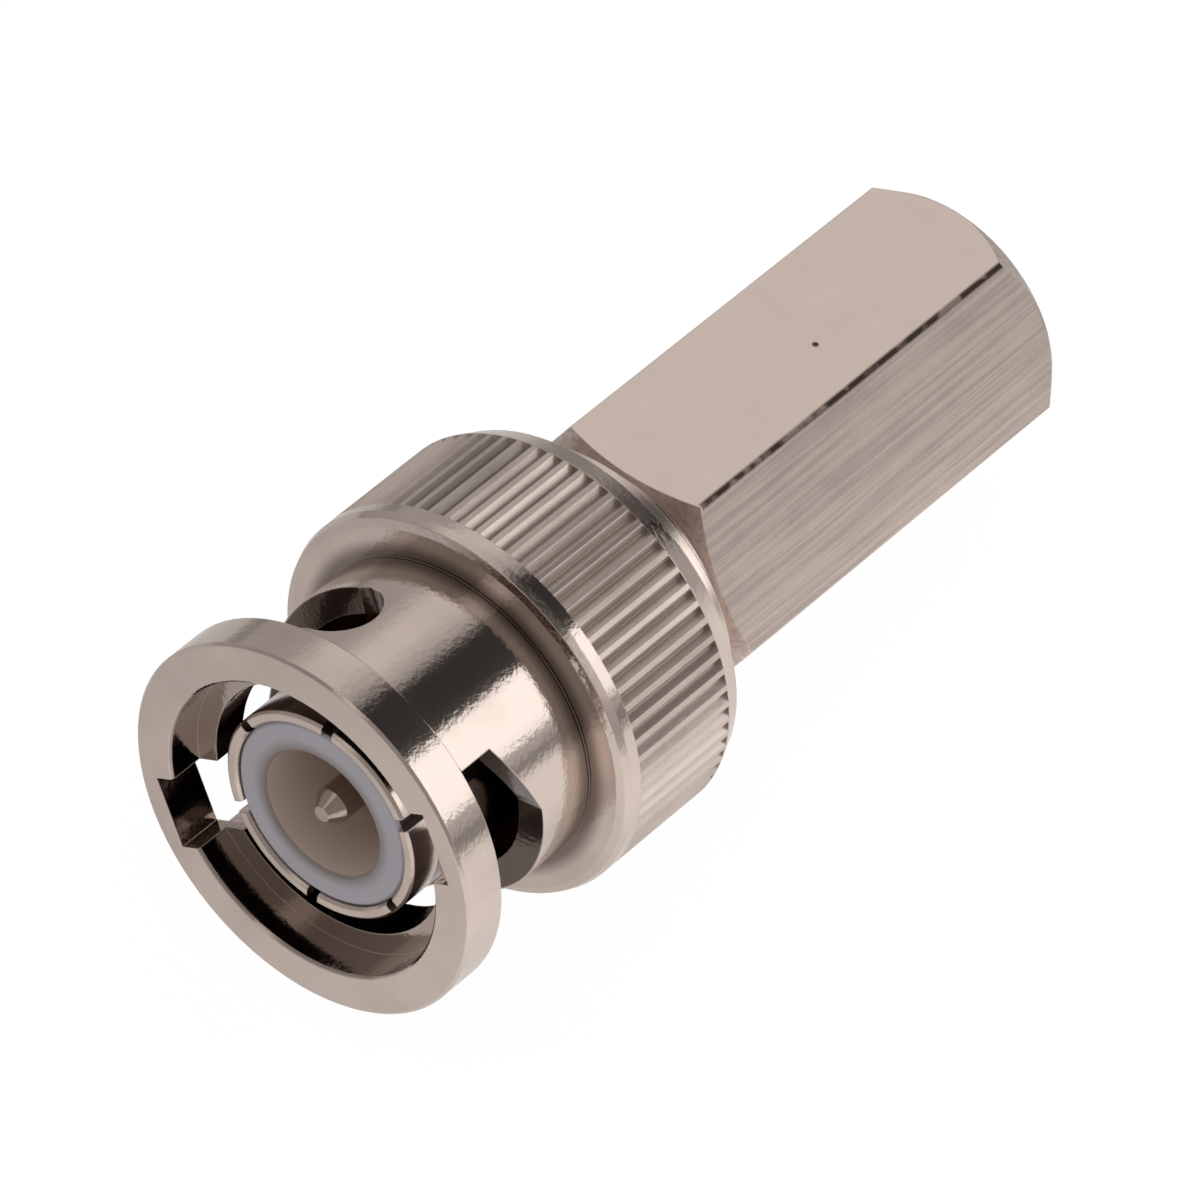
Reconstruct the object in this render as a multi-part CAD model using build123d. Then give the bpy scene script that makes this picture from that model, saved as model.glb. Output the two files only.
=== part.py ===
from build123d import *
import math
import os

# A bayonet cable plug, modelled in millimetres. The connector's axis is Y and the mating
# end points along -Y. The origin is the centre of the outer contact's mouth.
# Every distance along the axis is a length of one step, so a change moves what follows.

# Coupling nut, front to rear
NUT_LEAD = 0.93  # the nut's front face stands this far ahead of the contact's mouth
NUT_FLANGE_R = 7.25
NUT_FLANGE_T = 1.78
NUT_MOUTH_STEP = 0.84  # the mouth is this much wider in radius than the bore
NUT_MOUTH_DEPTH = 1.4
NUT_SOCKET_ROOM = 0.82  # from the contact out to the nut's bore, for the mating socket
NUT_NECK_WALL = 1.05
NUT_NECK_LENGTH = 6.12
NUT_FRONT_BAND = 0.85  # plain band between the shoulder and the knurl
NUT_REAR_LIP = 0.58  # wall behind the retaining ring's groove
NUT_REAR_TAPER = 0.4
NUT_REAR_BAND = 0.95
NUT_SHOULDER_BREAK = 0.4  # shoulder corner, eased by two cones
NUT_RING_WALL = 1.45  # from the sprung stack's chamber out to the knurl's crests

# Straight knurl
KNURL_TEETH = 70
KNURL_DEPTH = 0.24
KNURL_CREST_SHARE = 0.3  # flat crest, as a share of the tooth pitch

# Bayonet tracks, as places on the neck: degrees round from the entry, and
# distances along the axis from the nut's front face
TRACK_COUNT = 2
TRACK_ENTRY_AT = 29.0  # where the first entry stands, from +X towards +Z
TRACK_OVERCUT = 0.15  # how far the cutter reaches past the neck
TRACK_HEIGHT = 2.7  # along the axis
TRACK_START = 3.3
TRACK_KNEE = 4.08
TRACK_END = 4.62
TRACK_KNEE_ANGLE = 18.0
TRACK_TURN = 94.0
ENTRY_WIDTH = 2.73
ENTRY_OVERCUT = 0.41  # the entry is cut deeper than the track, to a flat floor
LOCK_HOLE_R = 1.4
TRACK_UNDERCUT = 0.2  # the cutter reaches this far into the open bore

# Outer contact: slotted sleeve, flange and spigot in one piece
CONTACT_R = 4.08
CONTACT_WALL = 0.46
CONTACT_GRIP = 6.0  # full-size stretch behind the mouth
CONTACT_NECK_DEPTH = 0.2
CONTACT_NECK_LENGTH = 1.5
CONTACT_SEAT_LENGTH = 1.7  # stretch that carries the gasket
CONTACT_FLANGE_T = 1.0
CONTACT_SLOTS = 6
CONTACT_SLOT_WIDTH = 0.45
CONTACT_SLOT_AT = 30.0
SPIGOT_STEP = 0.08  # the spigot is this much smaller in radius than the contact
SPIGOT_WALL = 0.95
SPIGOT_SEAT = 3.6  # length pressed into the hexagonal body

# Sprung stack behind the flange
STACK_ROOM = 2.05  # from the spigot out to the chamber's wall, for washers and spring
SPRING_TRAVEL = 0.7  # how far the nut is drawn forward while it locks
SPRING_STRIP = 0.25
SPRING_SPARE = 0.3  # height left in the spring at full travel, over the strip
SPRING_WAVES = 3
SPRING_STEPS = 24  # straight lengths that the strip is made of
SPRING_PLAY = 0.35
WASHER_T = 0.35
WASHER_PLAY = 0.15
RETAINER_T = 0.6
RETAINER_BITE = 0.45  # how deep the ring sits in the nut
RETAINER_WIDTH = 1.3
RETAINER_GAP = 40.0  # degrees left open in the split ring

# Gasket
GASKET_T = 1.0

# Insulators and centre contact
INSULATOR_RECESS = 0.12
INSULATOR_WALL = 1.16
INSULATOR_BORE_DEPTH = 5.5
INSULATOR_FLOOR = 2.8
REAR_INSULATOR_LENGTH = 5.0
PIN_R = 0.675
PIN_TIP_R = 0.3
PIN_TIP_LENGTH = 0.55
PIN_RECESS = 0.13
BARREL_R = 0.95
COLLAR_R = 1.6
COLLAR_T = 0.5
SOCKET_R = 0.45
SOCKET_DEPTH = 5.0
SOCKET_REACH = 3.2  # how far the socket stands out of the rear insulator
SOCKET_SLOT_WIDTH = 0.2
SOCKET_SLOT_LENGTH = 2.6

# Hexagonal body
HEX_COLLAR_GAP = 0.57  # space between the nut and the body's round collar
HEX_COLLAR_T = 0.6
HEX_COLLAR_WALL = 1.99  # from the spigot's seat out to the collar's rim
HEX_NECK_LENGTH = 0.95  # groove between the collar and the hexagon
HEX_WALL = 0.92  # from the spigot's seat out to the flats
HEX_LENGTH = 18.33
HEX_FRONT_LAND_STEP = 0.18  # the front land is this much inside the flats
HEX_FRONT_SLOPE = 30.0  # chamfer at the nut's end, from square to the axis
HEX_REAR_SLOPE = 35.0  # chamfer at the cable end, from the axis
CABLE_BORE_R = 3.25
CABLE_ENTRY_BREAK = 0.4

EDGE_BREAK = 0.1  # small chamfer on turned edges

# Clearances
REST_GAP = 0.05  # between faces of pieces that slide on each other
RUN_GAP = 0.06  # radial, between pieces that turn on each other
SEAT_GAP = 0.01  # radial, between pieces that are pressed together

# Radii that follow from the sizes above
CONTACT_BORE_R = CONTACT_R - CONTACT_WALL
CONTACT_NECK_R = CONTACT_R - CONTACT_NECK_DEPTH
SPIGOT_R = CONTACT_R - SPIGOT_STEP
SPIGOT_BORE_R = SPIGOT_R - SPIGOT_WALL
INSULATOR_BORE_R = CONTACT_BORE_R - SEAT_GAP - INSULATOR_WALL
NUT_BORE_R = CONTACT_R + NUT_SOCKET_ROOM
NUT_NECK_R = NUT_BORE_R + NUT_NECK_WALL
NUT_MOUTH_R = NUT_BORE_R + NUT_MOUTH_STEP
NUT_CHAMBER_R = SPIGOT_R + STACK_ROOM
NUT_RING_R = NUT_CHAMBER_R + NUT_RING_WALL
TRACK_INNER_R = NUT_BORE_R - TRACK_UNDERCUT
TRACK_R = NUT_NECK_R + TRACK_OVERCUT
ENTRY_FLOOR_R = NUT_NECK_R + ENTRY_OVERCUT
HEX_SEAT_R = SPIGOT_R + SEAT_GAP
HEX_FLAT_R = HEX_SEAT_R + HEX_WALL

# Places along the axis, from the contact's mouth
NUT_FRONT_Y = -NUT_LEAD
FLANGE_FRONT_Y = CONTACT_GRIP + CONTACT_NECK_LENGTH + CONTACT_SEAT_LENGTH
FLANGE_REAR_Y = FLANGE_FRONT_Y + CONTACT_FLANGE_T
SPRING_HEIGHT = SPRING_TRAVEL + SPRING_STRIP + SPRING_SPARE
SPRING_Y = FLANGE_REAR_Y + WASHER_T
SEAT_WASHER_Y = SPRING_Y + SPRING_HEIGHT + REST_GAP
RETAINER_Y = SEAT_WASHER_Y + WASHER_T + REST_GAP
NUT_REAR_Y = RETAINER_Y + RETAINER_T + REST_GAP + NUT_REAR_LIP
HEX_COLLAR_Y = NUT_REAR_Y + HEX_COLLAR_GAP
HEX_NECK_Y = HEX_COLLAR_Y + HEX_COLLAR_T
HEX_FRONT_Y = HEX_NECK_Y + HEX_NECK_LENGTH
HEX_REAR_Y = HEX_FRONT_Y + HEX_LENGTH
SPIGOT_END_Y = HEX_FRONT_Y + SPIGOT_SEAT
INSULATOR_FRONT_Y = INSULATOR_RECESS
INSULATOR_REAR_Y = INSULATOR_FRONT_Y + INSULATOR_BORE_DEPTH + INSULATOR_FLOOR
COLLAR_REAR_Y = INSULATOR_REAR_Y + COLLAR_T
REAR_INSULATOR_END_Y = COLLAR_REAR_Y + REAR_INSULATOR_LENGTH
SOCKET_END_Y = REAR_INSULATOR_END_Y + SOCKET_REACH


def turned(corners):
    """Turn a closed outline of (radius, y) corners about Y; a third value chamfers the corner."""
    outline = make_face(Polyline(*[corner[:2] for corner in corners], close=True))
    for corner in corners:
        if len(corner) == 3:
            here = Vector(corner[0], corner[1])
            nearest = min(outline.vertices(), key=lambda v: (Vector(v) - here).length)
            outline = chamfer(nearest, corner[2])
    return revolve(outline, Axis.Y)


def ring(inner_r, outer_r, start_y, end_y):
    """A plain turned ring."""
    return turned([(inner_r, start_y), (outer_r, start_y), (outer_r, end_y), (inner_r, end_y)])


def across(y):
    """A plane square to the connector's axis, whose normal points to the cable."""
    return Plane((0, y, 0), x_dir=(1, 0, 0), z_dir=(0, 1, 0))


def turn_about_axis(shape, degrees):
    """Turn a shape about Y, positive from +X towards +Z."""
    return Rot(0, -degrees, 0) * shape


def nut_blank():
    """The coupling nut as it leaves the lathe, with its knurl zone at root size."""
    front = NUT_FRONT_Y
    neck_front = front + NUT_FLANGE_T
    ring_front = neck_front + NUT_NECK_LENGTH
    knurl_start = ring_front + NUT_FRONT_BAND
    knurl_end = NUT_REAR_Y - NUT_REAR_BAND
    root_r = NUT_RING_R - KNURL_DEPTH
    shoulder_step = NUT_SHOULDER_BREAK * (1 - math.cos(math.radians(45)))
    chamber_front = FLANGE_FRONT_Y - REST_GAP
    groove_front = RETAINER_Y - REST_GAP / 2
    groove_rear = NUT_REAR_Y - NUT_REAR_LIP
    groove_r = NUT_CHAMBER_R + RETAINER_BITE
    return turned(
        [
            (NUT_MOUTH_R, front, EDGE_BREAK),
            (NUT_FLANGE_R, front, EDGE_BREAK),
            (NUT_FLANGE_R, neck_front, EDGE_BREAK),
            (NUT_NECK_R, neck_front),
            (NUT_NECK_R, ring_front),
            (NUT_RING_R - NUT_SHOULDER_BREAK, ring_front),
            (NUT_RING_R - shoulder_step, ring_front + shoulder_step),
            (NUT_RING_R, ring_front + NUT_SHOULDER_BREAK),
            (NUT_RING_R, knurl_start),
            (root_r, knurl_start),
            (root_r, knurl_end),
            (NUT_RING_R, knurl_end),
            (NUT_RING_R - NUT_REAR_TAPER, NUT_REAR_Y, EDGE_BREAK),
            (NUT_CHAMBER_R, NUT_REAR_Y),
            (NUT_CHAMBER_R, groove_rear),
            (groove_r, groove_rear),
            (groove_r, groove_front),
            (NUT_CHAMBER_R, groove_front),
            (NUT_CHAMBER_R, chamber_front),
            (NUT_BORE_R, chamber_front),
            (NUT_BORE_R, front + NUT_MOUTH_DEPTH),
            (NUT_MOUTH_R, front + NUT_MOUTH_DEPTH),
        ]
    )


def knurl():
    """The toothed band, as one outline of straight teeth drawn along the axis."""
    start = NUT_FRONT_Y + NUT_FLANGE_T + NUT_NECK_LENGTH + NUT_FRONT_BAND
    length = NUT_REAR_Y - NUT_REAR_BAND - start
    root_r = NUT_RING_R - KNURL_DEPTH
    pitch = 2 * math.pi / KNURL_TEETH
    corners = []
    for tooth in range(KNURL_TEETH):
        middle = tooth * pitch
        half_crest = KNURL_CREST_SHARE * pitch / 2
        for turn, radius in ((-half_crest, NUT_RING_R), (half_crest, NUT_RING_R), (pitch / 2, root_r)):
            corners.append((radius * math.cos(middle + turn), radius * math.sin(middle + turn)))
    outline = make_face(Polyline(*corners, close=True)) - Circle(root_r - KNURL_DEPTH)
    return extrude(across(start) * outline, amount=length)


def ramp_height(angle):
    """Where the middle of the steep ramp stands at an angle past the entry."""
    return TRACK_START + (TRACK_KNEE - TRACK_START) * angle / TRACK_KNEE_ANGLE


def track_sweep(start_angle, start, end_angle, end):
    """One stretch of bayonet track: a radial slot drawn along a helix about the axis."""
    rise = end - start
    path = Edge.make_helix(rise * 360 / (end_angle - start_angle), rise, TRACK_R)
    middle_r = (TRACK_INNER_R + TRACK_R) / 2
    section = Plane.XZ * Pos(middle_r, 0) * Rectangle(TRACK_R - TRACK_INNER_R, TRACK_HEIGHT)
    axis = Edge.make_line((0, 0, 0), (0, 0, rise))
    return Pos(0, 0, start) * Rot(0, 0, start_angle) * sweep(section, path=path, binormal=axis)


def lock_hole():
    """The round hole at the track's end, in which the lug drops home."""
    plane = Plane((TRACK_INNER_R, 0, TRACK_END), z_dir=(1, 0, 0))
    hole = extrude(plane * Circle(LOCK_HOLE_R), amount=TRACK_R - TRACK_INNER_R)
    return Rot(0, 0, TRACK_TURN) * hole


def track_entry():
    """The flat-floored notch through which a lug enters the track."""
    depth = ENTRY_FLOOR_R - TRACK_INNER_R
    height = ramp_height(-entry_half_angle()) + TRACK_HEIGHT / 2
    corner = Pos(TRACK_INNER_R + depth / 2, 0, height / 2)
    return corner * Box(depth, ENTRY_WIDTH, height)


def entry_half_angle():
    """Degrees from the entry's middle to its side wall, at the track's outer radius."""
    return math.degrees(math.asin(ENTRY_WIDTH / 2 / TRACK_R))


def bayonet_track():
    """A lug's whole way: entry, steep ramp, long gentle ramp and round locking hole.

    It is built about Z with the nut's front face at zero, then laid along Y.
    """
    ramp_from = -entry_half_angle()
    ramp = track_sweep(ramp_from, ramp_height(ramp_from), TRACK_KNEE_ANGLE, TRACK_KNEE)
    dwell = track_sweep(TRACK_KNEE_ANGLE, TRACK_KNEE, TRACK_TURN, TRACK_END)
    track = track_entry() + ramp + dwell + lock_hole()
    return Pos(0, NUT_FRONT_Y, 0) * Rot(-90, 0, 0) * track


def coupling_nut():
    """The bayonet nut: turned blank, knurl and two opposite helical tracks."""
    nut = nut_blank() + knurl()
    track = bayonet_track()
    for index in range(TRACK_COUNT):
        nut -= turn_about_axis(track, TRACK_ENTRY_AT + index * 360 / TRACK_COUNT)
    return nut


def outer_contact():
    """The slotted contact sleeve with its flange and spigot, turned in one piece."""
    neck_end = CONTACT_GRIP + CONTACT_NECK_LENGTH
    flange_r = NUT_CHAMBER_R - RUN_GAP
    sleeve = turned(
        [
            (CONTACT_BORE_R, 0, EDGE_BREAK),
            (CONTACT_R, 0, EDGE_BREAK),
            (CONTACT_R, CONTACT_GRIP),
            (CONTACT_NECK_R, CONTACT_GRIP),
            (CONTACT_NECK_R, neck_end),
            (CONTACT_R, neck_end),
            (CONTACT_R, FLANGE_FRONT_Y),
            (flange_r, FLANGE_FRONT_Y),
            (flange_r, FLANGE_REAR_Y),
            (SPIGOT_R, FLANGE_REAR_Y),
            (SPIGOT_R, SPIGOT_END_Y),
            (SPIGOT_BORE_R, SPIGOT_END_Y),
            (SPIGOT_BORE_R, INSULATOR_REAR_Y),
            (CONTACT_BORE_R, INSULATOR_REAR_Y),
        ]
    )
    cut = Pos(CONTACT_R, neck_end / 2, 0) * Box(CONTACT_R, neck_end, CONTACT_SLOT_WIDTH)
    for index in range(CONTACT_SLOTS):
        sleeve -= turn_about_axis(cut, CONTACT_SLOT_AT + index * 360 / CONTACT_SLOTS)
    return sleeve


def sealing_gasket():
    """The soft ring that a mating connector presses against."""
    inner_r = CONTACT_R + SEAT_GAP
    outer_r = NUT_BORE_R - RUN_GAP
    return ring(inner_r, outer_r, FLANGE_FRONT_Y - GASKET_T, FLANGE_FRONT_Y)


def washer(start_y):
    """A flat washer on the spigot."""
    return ring(SPIGOT_R + WASHER_PLAY, NUT_CHAMBER_R - WASHER_PLAY, start_y, start_y + WASHER_T)


def spring_section(step):
    """The spring strip's cross-section at one of the equal steps round the axis."""
    turn = 2 * math.pi * step / SPRING_STEPS
    swing = (SPRING_HEIGHT - SPRING_STRIP) / 2
    inner_r = SPIGOT_R + SPRING_PLAY
    outer_r = NUT_CHAMBER_R - SPRING_PLAY
    middle_y = SPRING_Y + SPRING_HEIGHT / 2 + swing * math.cos(SPRING_WAVES * turn)
    radial = Vector(math.cos(turn), 0, math.sin(turn))
    origin = radial * (inner_r + outer_r) / 2 + Vector(0, middle_y, 0)
    plane = Plane(origin, x_dir=radial, z_dir=(-radial.Z, 0, radial.X))
    return plane * Rectangle(outer_r - inner_r, SPRING_STRIP)


def wave_spring():
    """A wave washer: a flat strip ring bent into equal waves, in short straight lengths."""
    sections = [spring_section(step) for step in range(SPRING_STEPS + 1)]
    lengths = [loft(pair, ruled=True) for pair in zip(sections, sections[1:])]
    return lengths[0].fuse(*lengths[1:])


def retaining_ring():
    """The split ring that closes the nut behind the sprung stack."""
    outer_r = NUT_CHAMBER_R + RETAINER_BITE - SEAT_GAP
    split = ring(outer_r - RETAINER_WIDTH, outer_r, RETAINER_Y, RETAINER_Y + RETAINER_T)
    reach = 2 * outer_r
    half = math.radians(RETAINER_GAP / 2)
    wedge = make_face(
        Polyline(
            (0, 0),
            (reach, -reach * math.tan(half)),
            (reach, reach * math.tan(half)),
            close=True,
        )
    )
    return split - extrude(across(RETAINER_Y) * wedge, amount=RETAINER_T)


def front_insulator():
    """The white sleeve inside the outer contact, with a floor that holds the pin."""
    outer_r = CONTACT_BORE_R - SEAT_GAP
    floor_y = INSULATOR_FRONT_Y + INSULATOR_BORE_DEPTH
    hole_r = BARREL_R + SEAT_GAP
    return turned(
        [
            (INSULATOR_BORE_R, INSULATOR_FRONT_Y, EDGE_BREAK),
            (outer_r, INSULATOR_FRONT_Y, EDGE_BREAK),
            (outer_r, INSULATOR_REAR_Y),
            (hole_r, INSULATOR_REAR_Y),
            (hole_r, floor_y),
            (INSULATOR_BORE_R, floor_y),
        ]
    )


def rear_insulator():
    """The bush that locks the centre contact from behind."""
    outer_r = SPIGOT_BORE_R - SEAT_GAP
    return ring(BARREL_R + SEAT_GAP, outer_r, COLLAR_REAR_Y, REAR_INSULATOR_END_Y)


def centre_contact():
    """The pin, its trapped collar and the slit socket for the cable's conductor."""
    barrel_front = INSULATOR_REAR_Y - INSULATOR_FLOOR
    pin_y = PIN_RECESS
    pin = turned(
        [
            (0, pin_y),
            (PIN_TIP_R, pin_y),
            (PIN_R, pin_y + PIN_TIP_LENGTH),
            (PIN_R, barrel_front),
            (BARREL_R, barrel_front),
            (BARREL_R, INSULATOR_REAR_Y),
            (COLLAR_R, INSULATOR_REAR_Y),
            (COLLAR_R, COLLAR_REAR_Y),
            (BARREL_R, COLLAR_REAR_Y),
            (BARREL_R, SOCKET_END_Y),
            (SOCKET_R, SOCKET_END_Y),
            (SOCKET_R, SOCKET_END_Y - SOCKET_DEPTH),
            (0, SOCKET_END_Y - SOCKET_DEPTH),
        ]
    )
    slit_at = Pos(0, SOCKET_END_Y - SOCKET_SLOT_LENGTH / 2, 0)
    return pin - slit_at * Box(2 * COLLAR_R, SOCKET_SLOT_LENGTH, SOCKET_SLOT_WIDTH)


def hex_body():
    """The long hexagonal body with its front collar, chamfered ends, spigot bore and cable bore."""
    corner_r = HEX_FLAT_R / math.cos(math.radians(30))
    land_r = HEX_FLAT_R - HEX_FRONT_LAND_STEP
    front_run = (corner_r - land_r) * math.tan(math.radians(HEX_FRONT_SLOPE))
    rear_run = (corner_r - HEX_FLAT_R) / math.tan(math.radians(HEX_REAR_SLOPE))
    bar = extrude(
        across(HEX_FRONT_Y) * RegularPolygon(HEX_FLAT_R, 6, major_radius=False),
        amount=HEX_LENGTH,
    )
    seat_end = SPIGOT_END_Y + REST_GAP
    envelope = turned(
        [
            (HEX_SEAT_R, HEX_FRONT_Y),
            (land_r, HEX_FRONT_Y),
            (corner_r, HEX_FRONT_Y + front_run),
            (corner_r, HEX_REAR_Y - rear_run),
            (HEX_FLAT_R, HEX_REAR_Y),
            (CABLE_BORE_R, HEX_REAR_Y, CABLE_ENTRY_BREAK),
            (CABLE_BORE_R, seat_end),
            (HEX_SEAT_R, seat_end),
        ]
    )
    collar_r = HEX_SEAT_R + HEX_COLLAR_WALL
    collar = turned(
        [
            (HEX_SEAT_R, HEX_COLLAR_Y),
            (collar_r, HEX_COLLAR_Y, EDGE_BREAK),
            (collar_r, HEX_NECK_Y, EDGE_BREAK),
            (land_r, HEX_NECK_Y),
            (land_r, HEX_FRONT_Y),
            (HEX_SEAT_R, HEX_FRONT_Y),
        ]
    )
    return (bar & envelope) + collar


NODES = {
    "coupling_nut": coupling_nut,
    "retaining_ring": retaining_ring,
    "seat_washer": lambda: washer(SEAT_WASHER_Y),
    "wave_spring": wave_spring,
    "thrust_washer": lambda: washer(FLANGE_REAR_Y),
    "sealing_gasket": sealing_gasket,
    "outer_contact": outer_contact,
    "front_insulator": front_insulator,
    "rear_insulator": rear_insulator,
    "centre_contact": centre_contact,
    "hex_body": hex_body,
}

os.makedirs("parts", exist_ok=True)
for node, make in NODES.items():
    export_step(make(), f"parts/{node}.step")
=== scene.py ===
"""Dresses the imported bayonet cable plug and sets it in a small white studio."""

import logging
import math
from dataclasses import dataclass
from enum import Enum
from typing import Any

import bpy
from mathutils import Matrix, Vector


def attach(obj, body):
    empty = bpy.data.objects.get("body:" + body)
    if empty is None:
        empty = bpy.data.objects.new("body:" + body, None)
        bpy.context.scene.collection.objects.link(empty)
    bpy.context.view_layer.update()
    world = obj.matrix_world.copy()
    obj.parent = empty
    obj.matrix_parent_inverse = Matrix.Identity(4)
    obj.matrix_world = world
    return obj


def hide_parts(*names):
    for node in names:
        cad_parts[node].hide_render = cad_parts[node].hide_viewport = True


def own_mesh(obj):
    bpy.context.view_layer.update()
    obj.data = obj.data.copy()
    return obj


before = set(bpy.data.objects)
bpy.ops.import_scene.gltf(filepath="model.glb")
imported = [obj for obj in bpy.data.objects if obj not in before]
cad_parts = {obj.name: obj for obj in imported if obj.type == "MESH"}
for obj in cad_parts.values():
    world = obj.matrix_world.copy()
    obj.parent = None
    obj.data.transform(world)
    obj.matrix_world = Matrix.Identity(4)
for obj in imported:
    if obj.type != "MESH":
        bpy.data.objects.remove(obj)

MM = 0.001  # the frame is in metres, and every size below is in millimetres

# The Mix node has a set of sockets for each kind of data, and these are their places.
SHARE = 0
NUMBER_A, NUMBER_B, NUMBER_OUT = 2, 3, 0
VECTOR_A, VECTOR_B, VECTOR_OUT = 4, 5, 1
COLOUR_A, COLOUR_B, COLOUR_OUT = 6, 7, 2

NOISE_SIZE = 0.5  # at a scale of 1, a noise texture's features are about this wide
WHITE = (1, 1, 1, 1)
HARD_ANGLE = math.radians(40)  # faces of an added piece that meet more sharply keep their edge

Tree = bpy.types.NodeTree
Socket = bpy.types.NodeSocket

log = logging.getLogger("plug")


def linear(code: str) -> tuple[float, float, float, float]:
    """Turn an sRGB hex colour into linear light.

    Args:
        code: The colour as "#RRGGBB".

    Returns:
        Red, green, blue and an alpha of 1.
    """
    parts = [int(code[at : at + 2], 16) / 255 for at in (1, 3, 5)]
    light = [p / 12.92 if p <= 0.04045 else ((p + 0.055) / 1.055) ** 2.4 for p in parts]
    return light[0], light[1], light[2], 1.0


def add_node(tree: Tree, kind: str, inputs: dict | None = None, **settings: Any) -> bpy.types.Node:
    """Add one node with its settings, values and links.

    Args:
        tree: The node tree that the node goes into.
        kind: The node's type name.
        inputs: Values or sockets to link, by the input's name or place.
        **settings: The node's own properties.

    Returns:
        The new node.
    """
    node = tree.nodes.new(kind)
    for name, value in settings.items():
        setattr(node, name, value)
    for name, value in (inputs or {}).items():
        if isinstance(value, Socket):
            tree.links.new(value, node.inputs[name])
        else:
            node.inputs[name].default_value = value
    return node


class Lay(Enum):
    """Which way the tool marks of a metal surface run."""

    TURNED = "rings round the connector's axis"
    DRAWN = "streaks along the connector's axis"
    STAMPED = "no direction"


@dataclass(frozen=True)
class RadialTint:
    """A second colour that comes in with the distance from the axis.

    Attributes:
        colour: The colour where the tint is full.
        clear_r: Radius at which the tint is nothing, in mm.
        full_r: Radius at which the tint is full, in mm.
        start_y: Where the tinted stretch starts, in mm.
        end_y: Where the tinted stretch ends, in mm.
        strength: Share of the tint at its fullest.
    """

    colour: str
    clear_r: float
    full_r: float
    start_y: float
    end_y: float
    strength: float = 1.0


@dataclass(frozen=True)
class WornEdge:
    """A dark line where the plate has worn off along an edge that runs with the axis.

    Attributes:
        at: The edge's place across the axis, as x and z in mm.
        radius: How far the wear reaches from the edge, in mm.
        start_y: Where it starts, in mm.
        end_y: Where it ends, in mm.
        colour: The colour of the worn line.
        whole: Share of the line that stays where it is thinnest.
        core: Share of the radius inside which the line is full.
        break_scale: Scale per mm of the noise that breaks the line.
        break_levels: Levels of that noise between which the line fills up again.
    """

    at: tuple[float, float]
    radius: float
    start_y: float
    end_y: float
    colour: str = "#443933"
    whole: float = 0.7
    core: float = 0.4
    break_scale: float = 0.9
    break_levels: tuple[float, float] = (0.4, 0.5)


@dataclass(frozen=True)
class Pit:
    """A small dark flaw in the plating.

    Attributes:
        at: Its place, in mm.
        radius: Its radius, in mm.
        colour: Its colour.
        core: Share of the radius inside which the colour is full.
    """

    at: tuple[float, float, float]
    radius: float
    colour: str = "#4A423E"
    core: float = 0.5


class SurfacePlaces:
    """The coordinates that the patterns are drawn in, in mm and tied to the piece."""

    def __init__(self, tree: Tree) -> None:
        """Add the nodes that give the position, its parts and the distance from the axis."""
        self.tree = tree
        coordinates = add_node(tree, "ShaderNodeTexCoord")
        scaled = add_node(
            tree,
            "ShaderNodeVectorMath",
            {0: coordinates.outputs["Object"], "Scale": 1 / MM},
            operation="SCALE",
        )
        self.position = scaled.outputs["Vector"]
        parts = add_node(tree, "ShaderNodeSeparateXYZ", {0: self.position})
        self.along = parts.outputs["Y"]
        self.height = parts.outputs["Z"]
        flat = add_node(
            tree, "ShaderNodeVectorMath", {0: self.position, 1: (1, 0, 1)}, operation="MULTIPLY"
        )
        self.across = flat.outputs["Vector"]
        length = add_node(tree, "ShaderNodeVectorMath", {0: self.across}, operation="LENGTH")
        self.radius = length.outputs["Value"]

    def stretch(self, start: float, end: float) -> Socket:
        """Give 1 along a stretch of the axis, else 0.

        Args:
            start: Where the stretch starts, in mm.
            end: Where it ends, in mm.

        Returns:
            The socket of the answer.
        """
        tree = self.tree
        here = self.along
        after = add_node(tree, "ShaderNodeMath", {0: here, 1: start}, operation="GREATER_THAN")
        before = add_node(tree, "ShaderNodeMath", {0: here, 1: end}, operation="LESS_THAN")
        both = {0: after.outputs[0], 1: before.outputs[0]}
        return add_node(tree, "ShaderNodeMath", both, operation="MULTIPLY").outputs[0]


def tinted(places: SurfacePlaces, colour: Socket, tint: RadialTint) -> Socket:
    """Lay a radial tint over a colour.

    Args:
        places: The surface coordinates, with the material's node tree.
        colour: The colour underneath.
        tint: What to lay over it.

    Returns:
        The mixed colour's socket.
    """
    tree = places.tree
    rising = tint.full_r > tint.clear_r
    low, high = (tint.clear_r, tint.full_r) if rising else (tint.full_r, tint.clear_r)
    reach = add_node(
        tree,
        "ShaderNodeMapRange",
        {
            "Value": places.radius,
            "From Min": low,
            "From Max": high,
            "To Min": 0.0 if rising else tint.strength,
            "To Max": tint.strength if rising else 0.0,
        },
        interpolation_type="SMOOTHSTEP",
    )
    inside = places.stretch(tint.start_y, tint.end_y)
    share = add_node(
        tree, "ShaderNodeMath", {0: reach.outputs["Result"], 1: inside}, operation="MULTIPLY"
    )
    mixed = add_node(
        tree,
        "ShaderNodeMix",
        {SHARE: share.outputs[0], COLOUR_A: colour, COLOUR_B: linear(tint.colour)},
        data_type="RGBA",
    )
    return mixed.outputs[COLOUR_OUT]


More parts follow.
